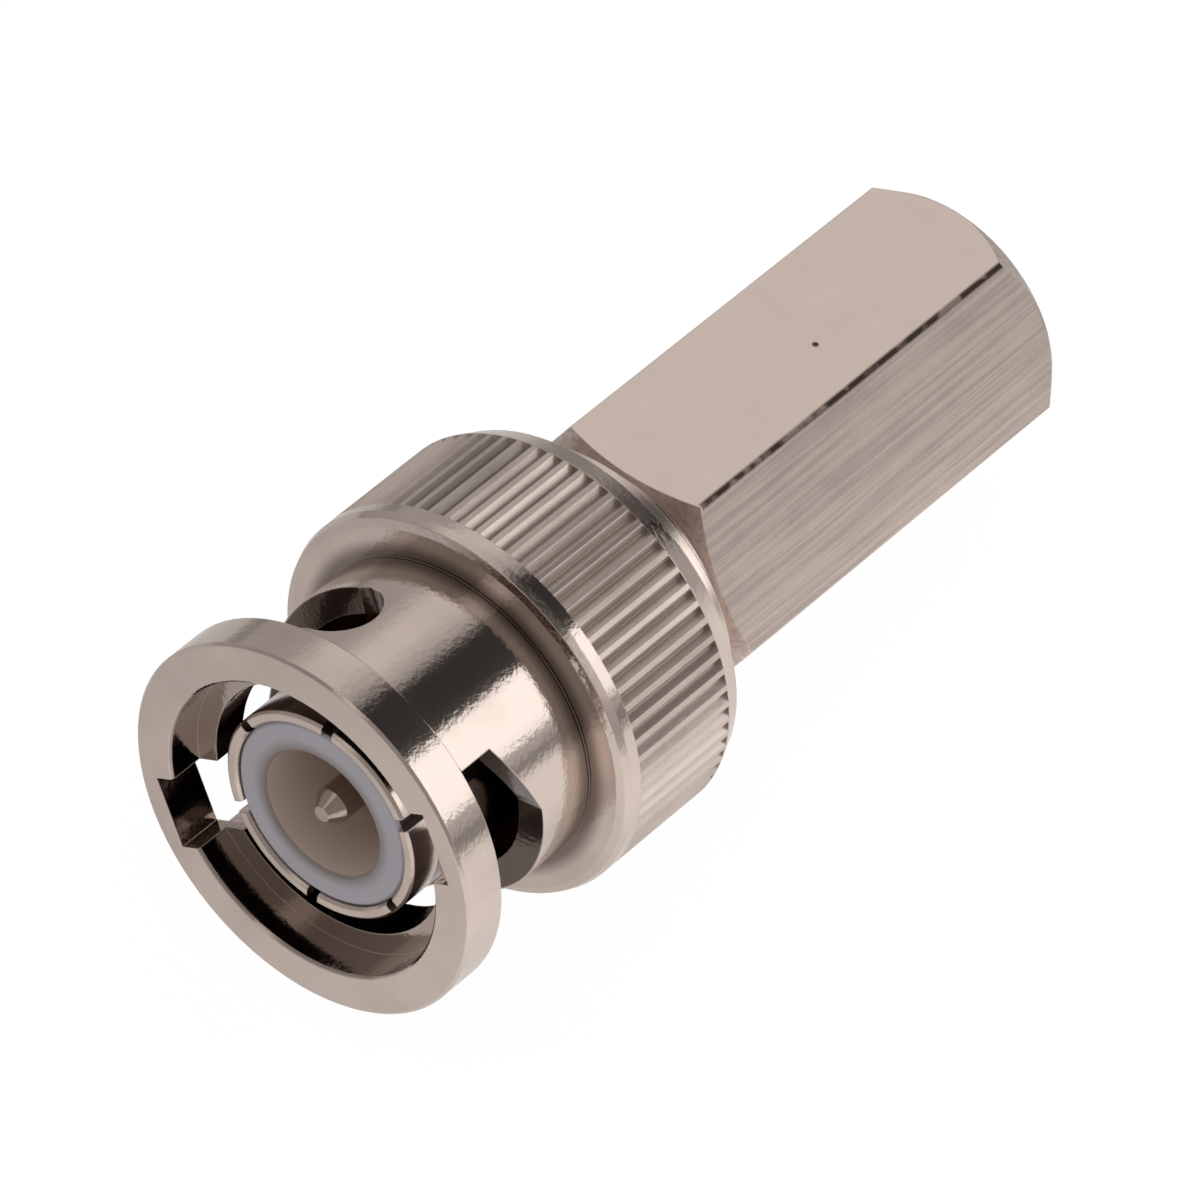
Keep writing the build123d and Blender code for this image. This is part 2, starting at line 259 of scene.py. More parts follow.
def worn(places: SurfacePlaces, colour: Socket, edge: WornEdge) -> Socket:
    """Draw a worn edge over a colour.

    Args:
        places: The surface coordinates, with the material's node tree.
        colour: The colour underneath.
        edge: The edge to draw.

    Returns:
        The mixed colour's socket.
    """
    tree = places.tree
    middle = (edge.at[0], 0, edge.at[1])
    away = add_node(
        tree, "ShaderNodeVectorMath", {0: places.across, 1: middle}, operation="DISTANCE"
    )
    fading = {"From Min": edge.radius, "From Max": edge.radius * edge.core}
    near = add_node(tree, "ShaderNodeMapRange", {"Value": away.outputs["Value"], **fading})
    # breaks of about half a millimetre, as handling leaves along an edge
    breaks = add_node(
        tree,
        "ShaderNodeTexNoise",
        {"Vector": places.position, "Scale": edge.break_scale, "Detail": 2.0},
    )
    broken, full = edge.break_levels
    filling = {"From Min": broken, "From Max": full, "To Min": edge.whole}
    kept = add_node(tree, "ShaderNodeMapRange", {"Value": breaks.outputs["Fac"], **filling})
    line = add_node(
        tree, "ShaderNodeMath", {0: near.outputs[0], 1: kept.outputs[0]}, operation="MULTIPLY"
    )
    inside = places.stretch(edge.start_y, edge.end_y)
    share = add_node(tree, "ShaderNodeMath", {0: line.outputs[0], 1: inside}, operation="MULTIPLY")
    mixed = add_node(
        tree,
        "ShaderNodeMix",
        {SHARE: share.outputs[0], COLOUR_A: colour, COLOUR_B: linear(edge.colour)},
        data_type="RGBA",
    )
    return mixed.outputs[COLOUR_OUT]


def pitted(places: SurfacePlaces, colour: Socket, pit: Pit) -> Socket:
    """Draw a pit over a colour.

    Args:
        places: The surface coordinates, with the material's node tree.
        colour: The colour underneath.
        pit: The pit to draw.

    Returns:
        The mixed colour's socket.
    """
    tree = places.tree
    away = add_node(
        tree, "ShaderNodeVectorMath", {0: places.position, 1: pit.at}, operation="DISTANCE"
    )
    fading = {"From Min": pit.radius, "From Max": pit.radius * pit.core}
    inside = add_node(tree, "ShaderNodeMapRange", {"Value": away.outputs["Value"], **fading})
    mixed = add_node(
        tree,
        "ShaderNodeMix",
        {SHARE: inside.outputs["Result"], COLOUR_A: colour, COLOUR_B: linear(pit.colour)},
        data_type="RGBA",
    )
    return mixed.outputs[COLOUR_OUT]


@dataclass(frozen=True)
class PlatedMetal:
    """A bare or plated metal finish.

    Attributes:
        name: The material's name.
        colour: Its main colour.
        shade: The colour of the duller patches in it.
        roughness: Its mean roughness.
        lay: Which way its tool marks run.
        spacing: Spacing of the tool marks, in mm.
        depth: Depth of the tool marks, in mm.
        patch: Size of the duller patches, in mm.
        edge: How far corners are eased in the shading, in mm.
        tints: Radial tints, such as painted shade in a knurl's roots.
        pits: Small flaws in the plating.
        edges: Edges whose plate has worn.
        patchy: Share of the duller colour in the patches.
        streak: Share of the duller colour that the tool marks bring in.
        grain: Size of the plate's fine unevenness, in mm.
        grain_depth: Depth of that unevenness, in mm.
        matt: Where a duller stretch starts and ends, in mm, and its roughness.
        polished_lit_top_z: Height above which the tool marks are polished out, in mm; the top above
            it stays clear of their duller colour, so the sides are darker as painted shade.
        polished_lit_top_level: The marks' level where they are polished out, at which they bring in
            none of the duller colour.
        drawn: Where the drawn stretch of a bar starts and ends, in mm.
        bar_r: Radius outside which the bar's drawn surface lies, in mm.
        drawn_out: A drawn mark's scale along the bar, as a share of its scale across.
        patch_levels: Noise levels between which the duller patches come in.
        mark_levels: Levels of the marks between which their duller colour comes in.
        rough_levels: Noise levels between which the roughness changes.
        rough_range: Least and most roughness, as shares of the mean.
    """

    name: str
    colour: str
    shade: str
    roughness: float
    lay: Lay
    spacing: float
    depth: float
    patch: float = 1.6
    edge: float = 0.06
    tints: tuple[RadialTint, ...] = ()
    pits: tuple[Pit, ...] = ()
    edges: tuple[WornEdge, ...] = ()
    patchy: float = 1.0
    streak: float = 0.0
    grain: float = 0.14
    grain_depth: float = 0.004
    matt: tuple[float, float, float] | None = None
    polished_lit_top_z: float | None = None
    polished_lit_top_level: float = 0.4
    drawn: tuple[float, float] = (0.0, 0.0)
    bar_r: float = 0.0
    drawn_out: float = 0.018
    patch_levels: tuple[float, float] = (0.42, 0.72)
    mark_levels: tuple[float, float] = (0.4, 0.6)
    rough_levels: tuple[float, float] = (0.3, 0.7)
    rough_range: tuple[float, float] = (0.94, 1.08)

    def marks(self, places: SurfacePlaces) -> Socket:
        """Draw the tool marks.

        Args:
            places: The surface coordinates, with the material's node tree.

        Returns:
            A socket from 0 to 1, the height of the marks.
        """
        tree = places.tree
        where = places.position
        if self.lay is not Lay.STAMPED:
            # radius and length alone, so the marks are rings on a face and on a cylinder alike
            rings = add_node(tree, "ShaderNodeCombineXYZ", {0: places.radius, 1: places.along})
            where = rings.outputs[0]
        if self.lay is Lay.DRAWN:
            # the sides of a drawn bar are streaked, and its ends and bore are turned
            streaks = add_node(
                tree,
                "ShaderNodeVectorMath",
                {0: places.position, 1: (1.0, self.drawn_out, 1.0)},
                operation="MULTIPLY",
            )
            past = {0: places.radius, 1: self.bar_r}
            outer = add_node(tree, "ShaderNodeMath", past, operation="GREATER_THAN")
            both = {0: places.stretch(*self.drawn), 1: outer.outputs[0]}
            side = add_node(tree, "ShaderNodeMath", both, operation="MULTIPLY")
            chosen = add_node(
                tree,
                "ShaderNodeMix",
                {SHARE: side.outputs[0], VECTOR_A: where, VECTOR_B: streaks.outputs["Vector"]},
                data_type="VECTOR",
            )
            where = chosen.outputs[VECTOR_OUT]
        noise = add_node(
            tree,
            "ShaderNodeTexNoise",
            {"Vector": where, "Scale": NOISE_SIZE / self.spacing, "Detail": 3.0, "Roughness": 0.6},
        )
        if self.polished_lit_top_z is None:
            return noise.outputs["Fac"]
        # above that height the marks are held at one level, so the top keeps the plain colour and
        # the streaked sides are darker: painted shade on the sides
        below = add_node(
            tree, "ShaderNodeMath", {0: places.height, 1: self.polished_lit_top_z}, operation="LESS_THAN"
        )
        level = {NUMBER_A: self.polished_lit_top_level, NUMBER_B: noise.outputs["Fac"]}
        kept = add_node(tree, "ShaderNodeMix", {SHARE: below.outputs[0], **level})
        return kept.outputs[NUMBER_OUT]

    def coloured(self, places: SurfacePlaces, marks: Socket, patches: Socket) -> Socket:
        """Mix the plate's two colours, and lay its tints, wear and flaws over them.

        Args:
            places: The surface coordinates, with the material's node tree.
            marks: The height of the tool marks.
            patches: The noise of the duller patches.

        Returns:
            The colour's socket.
        """
        tree = places.tree
        low, high = self.patch_levels
        levels = {"From Min": low, "From Max": high, "To Max": self.patchy}
        dull = add_node(tree, "ShaderNodeMapRange", {"Value": patches, **levels})
        low, high = self.mark_levels
        levels = {"From Min": low, "From Max": high, "To Max": self.streak}
        streaks = add_node(tree, "ShaderNodeMapRange", {"Value": marks, **levels})
        share = add_node(
            tree,
            "ShaderNodeMath",
            {0: dull.outputs[0], 1: streaks.outputs[0]},
            operation="ADD",
            use_clamp=True,
        )
        both = {COLOUR_A: linear(self.colour), COLOUR_B: linear(self.shade)}
        plate = add_node(
            tree, "ShaderNodeMix", {SHARE: share.outputs[0], **both}, data_type="RGBA"
        )
        colour = plate.outputs[COLOUR_OUT]
        for tint in self.tints:
            colour = tinted(places, colour, tint)
        for edge in self.edges:
            colour = worn(places, colour, edge)
        for pit in self.pits:
            colour = pitted(places, colour, pit)
        return colour

    def dulled(self, places: SurfacePlaces, patches: Socket) -> Socket:
        """Vary the roughness with the patches and along the plug.

        Args:
            places: The surface coordinates, with the material's node tree.
            patches: The noise of the duller patches.

        Returns:
            The roughness's socket.
        """
        low, high = self.rough_levels
        least, most = self.rough_range
        varied = add_node(
            places.tree,
            "ShaderNodeMapRange",
            {
                "Value": patches,
                "From Min": low,
                "From Max": high,
                "To Min": self.roughness * least,
                "To Max": self.roughness * most,
            },
        )
        if not self.matt:
            return varied.outputs["Result"]
        start, end, level = self.matt
        inside = places.stretch(start, end)
        mixed = add_node(
            places.tree,
            "ShaderNodeMix",
            {SHARE: inside, NUMBER_A: varied.outputs["Result"], NUMBER_B: level},
        )
        return mixed.outputs[NUMBER_OUT]

    def relief(self, places: SurfacePlaces, marks: Socket) -> Socket:
        """Ease the corners, and raise the tool marks and the plate's unevenness.

        Args:
            places: The surface coordinates, with the material's node tree.
            marks: The height of the tool marks.

        Returns:
            The normal's socket.
        """
        tree = places.tree
        # a turned part's corners are eased by tumbling, which gives them their thin bright line
        eased = add_node(tree, "ShaderNodeBevel", {"Radius": self.edge * MM}, samples=6)
        tooled = add_node(
            tree,
            "ShaderNodeBump",
            {
                "Height": marks,
                "Strength": 1.0,
                "Distance": self.depth * MM,
                "Normal": eased.outputs["Normal"],
            },
        )
        # the plate's own unevenness breaks up the edges of what it mirrors
        pebble = add_node(
            tree,
            "ShaderNodeTexNoise",
            {"Vector": places.position, "Scale": NOISE_SIZE / self.grain, "Detail": 2.0},
        )
        uneven = add_node(
            tree,
            "ShaderNodeBump",
            {
                "Height": pebble.outputs["Fac"],
                "Strength": 1.0,
                "Distance": self.grain_depth * MM,
                "Normal": tooled.outputs["Normal"],
            },
        )
        return uneven.outputs["Normal"]

    def material(self) -> bpy.types.Material:
        """Build the finish.

        Returns:
            The material.
        """
        material = bpy.data.materials.new(self.name)
        material.use_nodes = True
        tree = material.node_tree
        shader = tree.nodes["Principled BSDF"]
        places = SurfacePlaces(tree)
        marks = self.marks(places)
        noise = add_node(
            tree,
            "ShaderNodeTexNoise",
            {"Vector": places.position, "Scale": NOISE_SIZE / self.patch, "Detail": 4.0},
        )
        patches = noise.outputs["Fac"]
        tree.links.new(self.coloured(places, marks, patches), shader.inputs["Base Color"])
        tree.links.new(self.dulled(places, patches), shader.inputs["Roughness"])
        tree.links.new(self.relief(places, marks), shader.inputs["Normal"])
        shader.inputs["Metallic"].default_value = 1.0
        return material


@dataclass(frozen=True)
class MouldedPolymer:
    """A polymer or rubber finish.

    Attributes:
        name: The material's name.
        colour: Its main colour.
        shade: The colour of the patches in it.
        roughness: Its roughness.
        grain: Size of the surface grain, in mm.
        depth: Depth of the surface grain, in mm.
        scatter: Share of the light that passes under the surface.
        tints: Radial tints, such as painted light inside a bore.
        cloud_scale: Scale per mm of the noise that makes the patches.
        edge: How far corners are eased in the shading, in mm.
        reach: How far light passes under the surface, in mm.
        reach_shares: That reach for red, green and blue, as shares of it.
    """

    name: str
    colour: str
    shade: str
    roughness: float
    grain: float
    depth: float
    scatter: float = 0.0
    tints: tuple[RadialTint, ...] = ()
    cloud_scale: float = 0.45
    edge: float = 0.08
    reach: float = 0.6
    reach_shares: tuple[float, float, float] = (0.9, 1.0, 1.2)

    def material(self) -> bpy.types.Material:
        """Build the finish.

        Returns:
            The material.
        """
        material = bpy.data.materials.new(self.name)
        material.use_nodes = True
        tree = material.node_tree
        shader = tree.nodes["Principled BSDF"]
        places = SurfacePlaces(tree)
        cloud = add_node(
            tree,
            "ShaderNodeTexNoise",
            {"Vector": places.position, "Scale": self.cloud_scale, "Detail": 3.0},
        )
        both = {COLOUR_A: linear(self.colour), COLOUR_B: linear(self.shade)}
        mixed = add_node(
            tree, "ShaderNodeMix", {SHARE: cloud.outputs["Fac"], **both}, data_type="RGBA"
        )
        colour = mixed.outputs[COLOUR_OUT]
        for tint in self.tints:
            colour = tinted(places, colour, tint)
        grain = add_node(
            tree,
            "ShaderNodeTexNoise",
            {"Vector": places.position, "Scale": NOISE_SIZE / self.grain, "Detail": 2.0},
        )
        eased = add_node(tree, "ShaderNodeBevel", {"Radius": self.edge * MM}, samples=4)
        bump = add_node(
            tree,
            "ShaderNodeBump",
            {
                "Height": grain.outputs["Fac"],
                "Strength": 1.0,
                "Distance": self.depth * MM,
                "Normal": eased.outputs["Normal"],
            },
        )
        tree.links.new(colour, shader.inputs["Base Color"])
        tree.links.new(bump.outputs["Normal"], shader.inputs["Normal"])
        shader.inputs["Roughness"].default_value = self.roughness
        shader.inputs["Subsurface Weight"].default_value = self.scatter
        shader.inputs["Subsurface Radius"].default_value = self.reach_shares
        shader.inputs["Subsurface Scale"].default_value = self.reach * MM
        return material


def dress(node: str, material: bpy.types.Material) -> None:
    """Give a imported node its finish, on every slot that it has.

    Args:
        node: The node's name.
        material: Its finish.
    """
    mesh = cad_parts[node].data
    if not mesh.materials:
        mesh.materials.append(material)
    for index in range(len(mesh.materials)):
        mesh.materials[index] = material
    log.info("node %s: %s", node, material.name)


def add_piece(
    name: str, points: list[Vector], faces: list[tuple[int, ...]], material: bpy.types.Material
) -> bpy.types.Object:
    """Make a mesh piece in the frame.

    Args:
        name: The piece's name.
        points: Its corners, in mm.
        faces: Its faces, as places in the list of corners.
        material: Its finish.

    Returns:
        The new object, smooth except across its hard edges.
    """
    mesh = bpy.data.meshes.new(name)
    mesh.from_pydata([point * MM for point in points], [], faces)
    mesh.shade_smooth()
    mesh.set_sharp_from_angle(angle=HARD_ANGLE)
    mesh.materials.append(material)
    piece = bpy.data.objects.new(name, mesh)
    bpy.context.scene.collection.objects.link(piece)
    log.info("piece %s: %d faces, %s", name, len(faces), material.name)
    return piece


def band(
    sections: list[list[Vector]], closed: bool
) -> tuple[list[Vector], list[tuple[int, ...]]]:
    """Join equal sections into one skin.

    Args:
        sections: Rings of corners, all with the same number of corners.
        closed: Whether the last section joins the first; otherwise both ends are capped.

    Returns:
        The corners and the faces.
    """
    size = len(sections[0])
    points = [point for section in sections for point in section]
    faces: list[tuple[int, ...]] = []
    for at in range(len(sections) if closed else len(sections) - 1):
        here, there = at * size, (at + 1) % len(sections) * size
        for corner in range(size):
            following = (corner + 1) % size
            faces.append((here + corner, here + following, there + following, there + corner))
    if not closed:
        last = (len(sections) - 1) * size
        faces.append(tuple(reversed(range(size))))
        faces.append(tuple(last + corner for corner in range(size)))
    return points, faces


@dataclass
class CouplingNut:
    """The bayonet nut, turned from brass bar, knurled and nickel plated, and its split ring."""

    knurl_start: float = 7.82
    knurl_end: float = 12.53
    knurl_root_r: float = 7.26
    knurl_crest_r: float = 7.5
    front_y: float = -0.93
    mouth_y: float = 0.47
    flange_rear_y: float = 0.85
    track_y: float = 1.5
    shoulder_y: float = 6.97
    chamber_y: float = 9.2
    bore_r: float = 4.9
    neck_r: float = 5.95
    entry_r: float = 6.36

    def tints(self) -> tuple[RadialTint, ...]:
        """Give the painted shade on the nut's plate, from the knurl to the mouth."""
        # painted shade in the knurl's roots, darker than the crests, where the grooves mirror the
        # dark
        roots = RadialTint(
            colour="#B2A8A1",
            clear_r=self.knurl_crest_r - 0.04,
            full_r=self.knurl_root_r,
            start_y=self.knurl_start,
            end_y=self.knurl_end,
            strength=0.7,
        )
        # painted shade inside the nut and on the walls of its tracks, where the plate mirrors the
        # dark inside
        inside = RadialTint(
            colour="#493E39",
            clear_r=self.neck_r - 0.01,
            full_r=self.neck_r - 0.08,
            start_y=self.track_y,
            end_y=self.chamber_y,
            strength=0.9,
        )
        # painted shade on the wall of the nut's bore
        bore = RadialTint(
            colour="#A3958C",
            clear_r=self.bore_r + 0.03,
            full_r=self.bore_r + 0.005,
            start_y=self.mouth_y,
            end_y=self.chamber_y,
            strength=0.9,
        )
        # painted shade in the nut's mouth, where the plate mirrors the dark inside
        mouth = RadialTint(
            colour="#978A82",
            clear_r=self.entry_r + 0.1,
            full_r=self.entry_r - 0.05,
            start_y=self.front_y + 0.04,
            end_y=self.flange_rear_y - 0.01,
            strength=0.6,
        )
        # painted shade in the corner between the neck and the shoulder, as a reflection of the
        # neck's dark band
        corner = RadialTint(
            colour="#4C413B",
            clear_r=self.neck_r + 0.85,
            full_r=self.neck_r + 0.15,
            start_y=self.shoulder_y - 0.1,
            end_y=self.shoulder_y + 0.1,
            strength=0.75,
        )
        return roots, inside, bore, mouth, corner

    def build(self) -> None:
        """Dress the nut and the ring behind it."""
        # Polished nickel on turned brass: near mirror bands, with fine rings from the lathe.
        # The real rings are 0.05 mm apart; they are drawn twice as coarse so that they show.
        nickel = PlatedMetal(
            name="nickel_plate_turned_polished",
            colour="#CFC3BB",
            shade="#C2B6AE",
            roughness=0.12,
            lay=Lay.TURNED,
            spacing=0.1,
            depth=0.0016,
            tints=self.tints(),
            grain=0.1,
            grain_depth=0.007,
            matt=(self.knurl_start, self.knurl_end, 0.42),
        )
        dress("coupling_nut", nickel.material())
        # Stamped spring steel: greyer and duller than the plate round it.
        steel = PlatedMetal(
            name="spring_steel_blanked",
            colour="#A39C96",
            shade="#8D8782",
            roughness=0.32,
            lay=Lay.STAMPED,
            spacing=0.2,
            depth=0.002,
        )
        dress("retaining_ring", steel.material())


@dataclass
class ContactSet:
    """The slotted outer contact, the insulators, the centre contact and the gasket."""

    bore_r: float = 2.45
    outer_r: float = 3.61
    sleeve_r: float = 4.08
    front_y: float = 0.12
    floor_y: float = 5.7
    sleeve_shade_end: float = 8.2
    insulator_shade_end: float = 9.0

    def outer_contact(self) -> None:
        """Dress the slotted sleeve."""
        # its outer side stands in the dark between the sleeve and the nut
        shade = RadialTint(
            colour="#5A4E47",
            clear_r=self.sleeve_r - 0.08,
            full_r=self.sleeve_r - 0.04,
            start_y=self.front_y + 1.2,
            end_y=self.sleeve_shade_end,
            strength=0.85,
        )
        # Bright nickel on thin turned brass: the slit fingers catch light along their lips.
        nickel = PlatedMetal(
            name="nickel_plate_turned_bright",
            colour="#D1C4BB",
            shade="#BEB1A7",
            roughness=0.2,
            lay=Lay.TURNED,
            spacing=0.1,
            depth=0.0014,
            tints=(shade,),
        )
        dress("outer_contact", nickel.material())

    def insulators(self) -> None:
        """Dress the two insulators."""
        # painted shade on the face round the bore's edge
        bore_edge_shade = RadialTint(
            colour="#8F8480",
            clear_r=self.bore_r + 0.6,
            full_r=self.bore_r + 0.02,
            start_y=self.front_y - 0.1,
            end_y=self.front_y + 0.3,
        )
        # painted light in the bore: lighter and warmer than the face, standing in for light thrown
        # back by the pin
        depth = RadialTint(
            colour="#D8C5B9",
            clear_r=self.bore_r + 0.04,
            full_r=self.bore_r,
            start_y=self.front_y + 0.1,
            end_y=self.floor_y + 0.4,
        )
        # the outer side stands in the dark behind the contact's slits
        outside = RadialTint(
            colour="#3A302B",
            clear_r=self.outer_r - 0.12,
            full_r=self.outer_r - 0.04,
            start_y=self.front_y + 0.15,
            end_y=self.insulator_shade_end,
        )
        # Turned fluoropolymer: waxy and cool white, with painted shade round the bore's edge and
        # painted light, lighter and warmer, in the bore.
        polymer = MouldedPolymer(
            name="fluoropolymer_turned_waxy",
            colour="#BDB9C0",
            shade="#B0ACB4",
            roughness=0.42,
            grain=0.25,
            depth=0.004,
            scatter=0.3,
            tints=(bore_edge_shade, depth, outside),
        )
        dress("front_insulator", polymer.material())
        dress("rear_insulator", polymer.material())

    def centre_contact(self) -> None:
        """Dress the pin."""
        # Silver-bright plate on the pin: one hard highlight along a warm grey rod.
        silver = PlatedMetal(
            name="silver_plate_turned",
            colour="#B0A397",
            shade="#A09489",
            roughness=0.18,
            lay=Lay.TURNED,
            spacing=0.08,
            depth=0.001,
            edge=0.04,
        )
        dress("centre_contact", silver.material())

    def gasket(self) -> None:
        """Dress the gasket."""
        # Moulded silicone rubber: brick red and matt.
        rubber = MouldedPolymer(
            name="silicone_rubber_moulded",
            colour="#8A3B2E",
            shade="#7C3327",
            roughness=0.6,
            grain=0.12,
            depth=0.004,
            scatter=0.1,
        )
        dress("sealing_gasket", rubber.material())

    def build(self) -> None:
        """Dress the pieces that make the electrical contact."""
        self.outer_contact()
        self.insulators()
        self.centre_contact()
        self.gasket()


@dataclass
class SprungStack:
    """The wave spring that draws the nut back, with a washer on each side of it."""

    start_y: float = 10.55
    height: float = 1.25
    thickness: float = 0.25
    inner_r: float = 4.35
    outer_r: float = 5.7
    waves: int = 3
    steps: int = 144
    edge: float = 0.06
    travel: float = 0.7

    def section(self, turn: float) -> list[Vector]:
        """Draw the strip's outline at an angle round the axis, with its corners eased.

        Args:
            turn: The angle, in radians.

        Returns:
            The outline's corners.
        """
        swing = (self.height - self.thickness) / 2
        middle = self.start_y + self.height / 2 + swing * math.cos(self.waves * turn)
        low, high = middle - self.thickness / 2, middle + self.thickness / 2
        outline = [
            (self.inner_r + self.edge, low),
            (self.outer_r - self.edge, low),
            (self.outer_r, low + self.edge),
            (self.outer_r, high - self.edge),
            (self.outer_r - self.edge, high),
            (self.inner_r + self.edge, high),
            (self.inner_r, high - self.edge),
            (self.inner_r, low + self.edge),
        ]
        return [Vector((r * math.cos(turn), y, r * math.sin(turn))) for r, y in outline]

    def build(self) -> None:
        """Make the smooth spring in place of its solid, and dress the washers."""
        # Blanked and bent spring steel: grey, with a faint grain and no tool marks.
        rolled = PlatedMetal(
            name="spring_steel_rolled",
            colour="#A8A19A",
            shade="#938D87",
            roughness=0.3,
            lay=Lay.STAMPED,
            spacing=0.15,
            depth=0.002,
        )
        steel = rolled.material()
        turns = [2 * math.pi * step / self.steps for step in range(self.steps)]
        skin = band([self.section(turn) for turn in turns], True)
        spring = add_piece("wave_spring_formed", *skin, steel)
        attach(spring, "plug_body")
        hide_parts("wave_spring")
        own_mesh(spring)
        dress("thrust_washer", steel)
        dress("seat_washer", steel)


@dataclass
class HexBody:
    """The long hexagonal body and the screw thread in its cable bore."""

    corner: tuple[float, float] = (2.846, 4.93)
    start_y: float = 15.6
    end_y: float = 33.93
    bore_r: float = 3.25
    thread_start: float = 20.2
    thread_end: float = 33.0
    thread_pitch: float = 1.25
    thread_height: float = 0.34
    thread_width: float = 0.8
    thread_flat: float = 0.08
    thread_sunk: float = 0.02
    least_height: float = 0.03
    least_width: float = 0.1
    steps: int = 56

    def thread_section(self, step: int, steps: int) -> list[Vector]:
        """Draw one section of the thread's ridge, which runs out at both ends of the thread.

        Args:
            step: The section's place along the thread.
            steps: The last section's place.

        Returns:
            The section's corners.
        """
        turn = 2 * math.pi * step / self.steps
        middle = self.thread_start + self.thread_pitch * step / self.steps
        run_out = min(1.0, step / (self.steps / 2), (steps - step) / (self.steps / 2))
        root = self.bore_r + self.thread_sunk
        height = self.thread_height * max(run_out, self.least_height)
        crest = root - self.thread_sunk - height
        width = max(run_out, self.least_width)
        half, flat = self.thread_width / 2 * width, self.thread_flat * width
        outline = [
            (root, middle - half),
            (crest, middle - flat),
            (crest, middle + flat),
            (root, middle + half),
        ]
        return [Vector((r * math.cos(turn), y, r * math.sin(turn))) for r, y in outline]

    def build(self) -> None:
        """Dress the body and cut its thread."""
        ridge = WornEdge(
            at=self.corner, radius=0.19, start_y=self.start_y + 0.6, end_y=self.end_y - 1.0
        )
        speck = Pit(at=(0.67, 25.18, 4.93), radius=0.16)
        # Satin nickel on drawn hexagon bar: soft, with long faint streaks from the die.
        # The die's marks are 0.05 mm apart; they are drawn nearly twice as coarse to show.
        nickel = PlatedMetal(
            name="nickel_plate_drawn_satin",
            colour="#DDCFC6",
            shade="#B6AAA6",
            roughness=0.27,
            lay=Lay.DRAWN,
            spacing=0.09,
            depth=0.006,
            patch=0.6,
            edge=0.06,
            pits=(speck,),
            edges=(ridge,),
            patchy=0.04,
            # the streaks bring a darker grey onto the side flats and the top flat stays plain: real
            # die streaks, with the sides darker than the top as painted shade
            streak=0.6,
            grain=0.1,
            grain_depth=0.002,
            polished_lit_top_z=self.corner[1] - 0.02,
            drawn=(self.start_y + 0.1, self.end_y - 0.1),
            bar_r=self.corner[1] - 0.05,
        )
        finish = nickel.material()
        dress("hex_body", finish)
        total = round((self.thread_end - self.thread_start) / self.thread_pitch * self.steps)
        sections = [self.thread_section(step, total) for step in range(total + 1)]
        thread = add_piece("cable_thread", *band(sections, False), finish)
        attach(thread, "plug_body")


